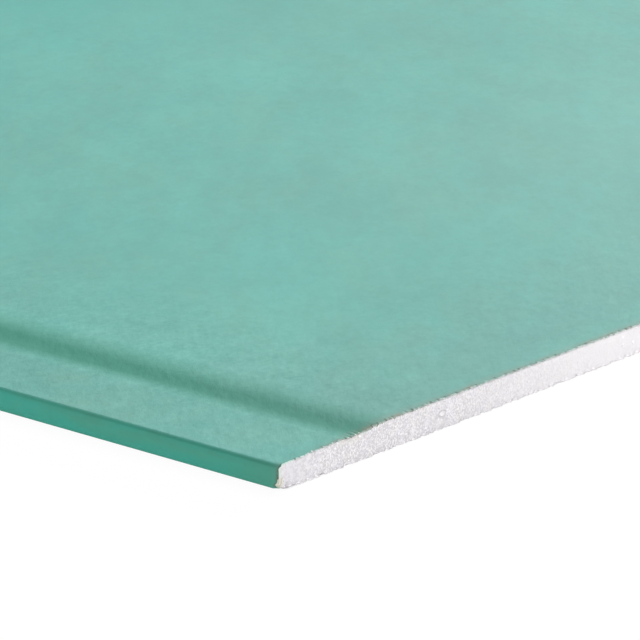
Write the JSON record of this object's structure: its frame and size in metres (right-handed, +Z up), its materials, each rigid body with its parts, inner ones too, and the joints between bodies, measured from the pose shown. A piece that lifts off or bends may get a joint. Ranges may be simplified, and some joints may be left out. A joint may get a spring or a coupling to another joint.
{
  "type": "drywall sheet",
  "caption": "Moisture-resistant drywall sheet: gypsum core wrapped in green face paper with tapered long edges, square-cut ends and a lapped back paper.",
  "frame": {"origin": "centre of the underside, on the plane the sheet lies on", "axes": "+X along the length, +Y across the width towards one tapered long edge, +Z up through the thickness, out of the green face"},
  "size_m": [2.4, 1.2, 0.0125],
  "materials": {
    "face_paper": "smooth dyed green liner paper with a faint fibre mottling and a soft sheen at grazing angles",
    "gypsum": "dry broken gypsum, matt, fine-grained and pitted with small air pores",
    "back_paper": "matt light grey recycled liner paper with visible fibres"
  },
  "bodies": {
    "root": {"face_paper": "face_paper", "gypsum_core": "gypsum", "back_paper": "back_paper"}
  },
  "joints": []
}
